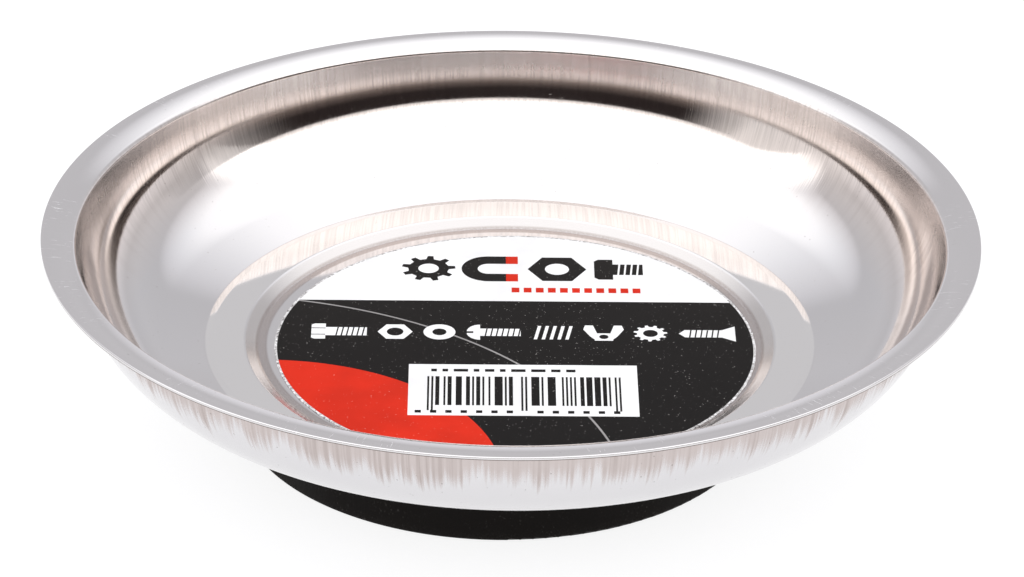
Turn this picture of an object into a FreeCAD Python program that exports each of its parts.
import FreeCAD, Part
import math
import os

# Round magnetic parts tray. Millimetres, +Z up, origin at the centre of the base's underside.

# Dish: one pressed sheet of stainless steel
SHEET = 0.6
RIM_RADIUS = 75.0
RIM_HEIGHT = 33.6
FLANGE_CROWN_RADIUS = 72.2
FLANGE_CROWN_DROP = 0.15
FLANGE_CROWN_BEND = 15.0
FLANGE_INNER_RADIUS = 69.45
FLANGE_INNER_DROP = 0.95
FLANGE_BEND = 1.0
RIM_EDGE_ROUND = 0.2
WALL_DRAFT = 5.8
CORNER_BEND = 16.75
FLOOR_SLOPE = 13.5
SEAT_RADIUS = 40.6
SEAT_BEND = 0.5
SHOULDER_RADIUS = 42.9
SHOULDER_RISE = 1.2
SHOULDER_BEND = 0.9
BAND_CREST_RADIUS = 48.2
BAND_CREST_RISE = 1.28
BAND_CREST_BEND = 3.0
BAND_FOOT_RADIUS = 49.4
BAND_FOOT_RISE = 1.2
BAND_FOOT_BEND = 0.5
DIMPLE_RADIUS = 4.75
DIMPLE_BEND = 0.4
DIMPLE_HOLE_RADIUS = 2.75

# Label: printed vinyl disc in the dish's sunken seat
LABEL_RADIUS = 38.95
LABEL_THICK = 0.12
LABEL_SHIFT = 0.9
LABEL_DROP = -1.1

# Base: rubber boot round a ferrite ring on a steel backing plate, clamped a little off the dish's axis
BASE_SHIFT = -1.5
BOOT_RADIUS = 42.3
BOOT_FLOOR = 2.0
BOOT_WALL = 2.0
BOOT_EDGE_ROUND = 0.6
BOOT_TOP_ROUND = 0.6
BOOT_HOLE_RADIUS = 9.0
TREAD_RADII = (16.0, 22.0, 28.0, 34.0)
TREAD_WIDTH = 1.6
TREAD_DEPTH = 0.5
FIT_GAP = 0.1
PLATE_THICK = 1.6
PLATE_EDGE_ROUND = 0.3
PLATE_HOLE_RADIUS = 4.15
CUP_RADIUS = 8.4
CUP_BEND = 0.8
CUP_CLEARANCE = 0.65
MAGNET_THICK = 8.2
MAGNET_BORE_RADIUS = 11.0
MAGNET_CHAMFER = 0.5

# Fasteners: one M5 countersunk screw, plain washer, spring washer and thin nut
SCREW_LENGTH = 10.0
SCREW_RADIUS = 2.5
SCREW_HEAD_RADIUS = 4.6
SCREW_HEAD_LAND = 0.3
SCREW_POINT_CHAMFER = 0.5
CROSS_RADIUS = 2.4
CROSS_WIDTH = 1.0
CROSS_DEPTH = 1.6
WASHER_RADIUS = 5.0
WASHER_HOLE_RADIUS = 2.65
WASHER_THICK = 1.0
SPRING_RADIUS = 4.6
SPRING_HOLE_RADIUS = 2.6
SPRING_THICK = 1.2
SPRING_CUT = 0.8
SPRING_CUT_ANGLE = 20.0
NUT_ACROSS_FLATS = 8.0
NUT_THICK = 2.7
NUT_CHAMFER = 30.0
THREAD_GAP = 0.05

# Heights of the stack
PLATE_TOP = BOOT_FLOOR + PLATE_THICK
SEAT_UNDERSIDE = PLATE_TOP + MAGNET_THICK
SEAT_TOP = SEAT_UNDERSIDE + SHEET
DIMPLE_BOTTOM = SEAT_TOP - (DIMPLE_RADIUS - DIMPLE_HOLE_RADIUS) - SHEET * math.sqrt(2)
CUP_TOP = DIMPLE_BOTTOM - CUP_CLEARANCE
NUT_SEAT = CUP_TOP - PLATE_THICK


def point(r, z):
    return FreeCAD.Vector(r, 0, z)


def corner_arc(before, corner, after, radius):
    """The two ends and the middle of the arc that rounds a corner of a profile."""
    to_before = (before - corner).normalize()
    to_after = (after - corner).normalize()
    half_angle = to_before.getAngle(to_after) / 2
    reach = radius / math.tan(half_angle)
    bisector = (to_before + to_after).normalize()
    depth = radius / math.sin(half_angle) - radius
    return corner + to_before * reach, corner + bisector * depth, corner + to_after * reach


def rounded_wire(corners):
    """A closed wire through (radius, height, rounding) corners."""
    spots = [point(r, z) for r, z, rounding in corners]
    edges = []
    ends = []
    for i, (r, z, rounding) in enumerate(corners):
        if rounding == 0:
            ends.append((spots[i], spots[i]))
            continue
        start, middle, end = corner_arc(spots[i - 1], spots[i], spots[(i + 1) % len(spots)], rounding)
        ends.append((start, end))
        edges.append(Part.Arc(start, middle, end).toShape())
    for i in range(len(ends)):
        edges.append(Part.LineSegment(ends[i - 1][1], ends[i][0]).toShape())
    return Part.Wire(Part.__sortEdges__(edges))


def turned(corners):
    """A solid of revolution about the Z axis."""
    face = Part.Face(rounded_wire(corners))
    return face.revolve(FreeCAD.Vector(0, 0, 0), FreeCAD.Vector(0, 0, 1), 360)


def tube(outer, inner, bottom, thick):
    return turned([(inner, bottom, 0), (outer, bottom, 0), (outer, bottom + thick, 0), (inner, bottom + thick, 0)])


def shifted(shape):
    shape.translate(FreeCAD.Vector(BASE_SHIFT, 0, 0))
    return shape


def normals(path):
    """Unit normals of a path's straight runs, pointing to its lower side as the path goes outwards."""
    found = []
    for (r0, z0, _), (r1, z1, _) in zip(path, path[1:]):
        length = math.hypot(r1 - r0, z1 - z0)
        found.append(((z1 - z0) / length, -(r1 - r0) / length))
    return found


def lower_side(path, thick):
    """The same path moved down by the sheet's thickness, with each bend's radius to suit."""
    sides = normals(path)
    moved = [(path[0][0], path[0][1] + thick / sides[0][1], 0)]
    for i in range(1, len(path) - 1):
        (ar, az), (br, bz) = sides[i - 1], sides[i]
        stretch = thick / (1 + ar * br + az * bz)
        bends_up = ar * bz - az * br > 0
        rounding = path[i][2] + (thick if bends_up else -thick)
        spot = (path[i][0] + (ar + br) * stretch, path[i][1] + (az + bz) * stretch)
        moved.append((spot[0], spot[1], max(rounding, 0)))
    moved.append((path[-1][0], path[-1][1] + thick / sides[-1][1], path[-1][2]))
    return moved


def dish_upper_path():
    """The dish's upper side, from the screw hole out to the rim."""
    slope = math.tan(math.radians(FLOOR_SLOPE))
    draft = math.tan(math.radians(WALL_DRAFT))
    foot = SEAT_TOP + BAND_FOOT_RISE
    flange_inner = RIM_HEIGHT - FLANGE_INNER_DROP
    # the floor's cone and the drafted wall meet at this corner
    corner_r = FLANGE_INNER_RADIUS - (flange_inner - foot + slope * BAND_FOOT_RADIUS) * draft
    corner_r = corner_r / (1 - slope * draft)
    corner_z = foot + (corner_r - BAND_FOOT_RADIUS) * slope
    return [
        (DIMPLE_HOLE_RADIUS, SEAT_TOP - (DIMPLE_RADIUS - DIMPLE_HOLE_RADIUS), 0),
        (DIMPLE_RADIUS, SEAT_TOP, DIMPLE_BEND),
        (SEAT_RADIUS, SEAT_TOP, SEAT_BEND),
        (SHOULDER_RADIUS, SEAT_TOP + SHOULDER_RISE, SHOULDER_BEND),
        (BAND_CREST_RADIUS, SEAT_TOP + BAND_CREST_RISE, BAND_CREST_BEND),
        (BAND_FOOT_RADIUS, foot, BAND_FOOT_BEND),
        (corner_r, corner_z, CORNER_BEND),
        (FLANGE_INNER_RADIUS, flange_inner, FLANGE_BEND),
        (FLANGE_CROWN_RADIUS, RIM_HEIGHT - FLANGE_CROWN_DROP, FLANGE_CROWN_BEND),
        (RIM_RADIUS, RIM_HEIGHT, RIM_EDGE_ROUND),
    ]


def make_dish():
    upper = dish_upper_path()
    return turned(upper + lower_side(upper, SHEET)[::-1])


def make_label():
    label = Part.makeCylinder(LABEL_RADIUS, LABEL_THICK)
    label.translate(FreeCAD.Vector(LABEL_SHIFT, LABEL_DROP, SEAT_TOP))
    return label


def make_boot():
    inside = BOOT_RADIUS - BOOT_WALL
    boot = turned([
        (BOOT_HOLE_RADIUS, 0, TREAD_DEPTH),
        (BOOT_RADIUS, 0, BOOT_EDGE_ROUND),
        (BOOT_RADIUS, SEAT_UNDERSIDE, BOOT_TOP_ROUND),
        (inside, SEAT_UNDERSIDE, 0),
        (inside, BOOT_FLOOR, 0),
        (BOOT_HOLE_RADIUS, BOOT_FLOOR, 0),
    ])
    for radius in TREAD_RADII:
        boot = boot.cut(tube(radius + TREAD_WIDTH / 2, radius - TREAD_WIDTH / 2, 0, TREAD_DEPTH))
    return shifted(boot)


def make_plate():
    """Flat steel ring with a cup raised at its centre for the nut."""
    outside = BOOT_RADIUS - BOOT_WALL - FIT_GAP
    outer_bend = CUP_BEND + PLATE_THICK
    plate = turned([
        (PLATE_HOLE_RADIUS, NUT_SEAT, 0),
        (CUP_RADIUS, NUT_SEAT, CUP_BEND),
        (CUP_RADIUS, BOOT_FLOOR, outer_bend),
        (outside, BOOT_FLOOR, PLATE_EDGE_ROUND),
        (outside, PLATE_TOP, PLATE_EDGE_ROUND),
        (CUP_RADIUS + PLATE_THICK, PLATE_TOP, CUP_BEND),
        (CUP_RADIUS + PLATE_THICK, CUP_TOP, outer_bend),
        (PLATE_HOLE_RADIUS, CUP_TOP, 0),
    ])
    return shifted(plate)


def make_magnet():
    outside = BOOT_RADIUS - BOOT_WALL - FIT_GAP
    magnet = tube(outside, MAGNET_BORE_RADIUS, PLATE_TOP, MAGNET_THICK)
    rims = [e for e in magnet.Edges if isinstance(e.Curve, Part.Circle)]
    return shifted(magnet.makeChamfer(MAGNET_CHAMFER, rims))


def make_screw():
    top = SEAT_TOP
    neck = top - SCREW_HEAD_LAND - (SCREW_HEAD_RADIUS - SCREW_RADIUS)
    screw = turned([
        (0, top, 0),
        (SCREW_HEAD_RADIUS, top, 0),
        (SCREW_HEAD_RADIUS, top - SCREW_HEAD_LAND, 0),
        (SCREW_RADIUS, neck, 0),
        (SCREW_RADIUS, top - SCREW_LENGTH + SCREW_POINT_CHAMFER, 0),
        (SCREW_RADIUS - SCREW_POINT_CHAMFER, top - SCREW_LENGTH, 0),
        (0, top - SCREW_LENGTH, 0),
    ])
    for turn in (0, 90):
        slot = Part.makeBox(2 * CROSS_RADIUS, CROSS_WIDTH, CROSS_DEPTH)
        slot.translate(FreeCAD.Vector(-CROSS_RADIUS, -CROSS_WIDTH / 2, top - CROSS_DEPTH))
        slot.rotate(FreeCAD.Vector(0, 0, 0), FreeCAD.Vector(0, 0, 1), turn)
        screw = screw.cut(slot)
    return screw


def make_washer():
    return tube(WASHER_RADIUS, WASHER_HOLE_RADIUS, NUT_SEAT - WASHER_THICK, WASHER_THICK)


def make_spring_washer():
    bottom = NUT_SEAT - WASHER_THICK - SPRING_THICK
    ring = tube(SPRING_RADIUS, SPRING_HOLE_RADIUS, bottom, SPRING_THICK)
    cut = Part.makeBox(SPRING_RADIUS, SPRING_CUT, 2 * SPRING_THICK)
    cut.translate(FreeCAD.Vector(SPRING_HOLE_RADIUS / 2, -SPRING_CUT / 2, -SPRING_THICK))
    cut.rotate(FreeCAD.Vector(0, 0, 0), FreeCAD.Vector(1, 0, 0), SPRING_CUT_ANGLE)
    cut.translate(FreeCAD.Vector(0, 0, bottom + SPRING_THICK / 2))
    return ring.cut(cut)


def make_nut():
    bottom = NUT_SEAT - WASHER_THICK - SPRING_THICK - NUT_THICK
    across_corners = NUT_ACROSS_FLATS / math.cos(math.radians(30)) / 2
    corners = []
    for i in range(7):
        angle = math.radians(60 * i)
        corners.append(FreeCAD.Vector(across_corners * math.cos(angle), across_corners * math.sin(angle), bottom))
    prism = Part.Face(Part.makePolygon(corners)).extrude(FreeCAD.Vector(0, 0, NUT_THICK))
    drop = (across_corners - NUT_ACROSS_FLATS / 2) * math.tan(math.radians(NUT_CHAMFER))
    limit = turned([
        (0, bottom, 0),
        (NUT_ACROSS_FLATS / 2, bottom, 0),
        (across_corners, bottom + drop, 0),
        (across_corners, bottom + NUT_THICK - drop, 0),
        (NUT_ACROSS_FLATS / 2, bottom + NUT_THICK, 0),
        (0, bottom + NUT_THICK, 0),
    ])
    bore = Part.makeCylinder(SCREW_RADIUS + THREAD_GAP, NUT_THICK)
    bore.translate(FreeCAD.Vector(0, 0, bottom))
    return prism.common(limit).cut(bore)


MAKERS = {
    "dish": make_dish,
    "label": make_label,
    "rubber_boot": make_boot,
    "backing_plate": make_plate,
    "ring_magnet": make_magnet,
    "clamp_screw": make_screw,
    "plain_washer": make_washer,
    "spring_washer": make_spring_washer,
    "clamp_nut": make_nut,
}

os.makedirs("parts", exist_ok=True)
for name, make in MAKERS.items():
    shape = make()
    if not shape.isValid() or len(shape.Solids) != 1:
        raise ValueError(name + " is not one valid solid")
    shape.Solids[0].exportStep("parts/" + name + ".step")
    box = shape.BoundBox
    print(name, round(shape.Volume, 1), [round(v, 2) for v in (box.XMin, box.XMax, box.YMin, box.YMax, box.ZMin, box.ZMax)])
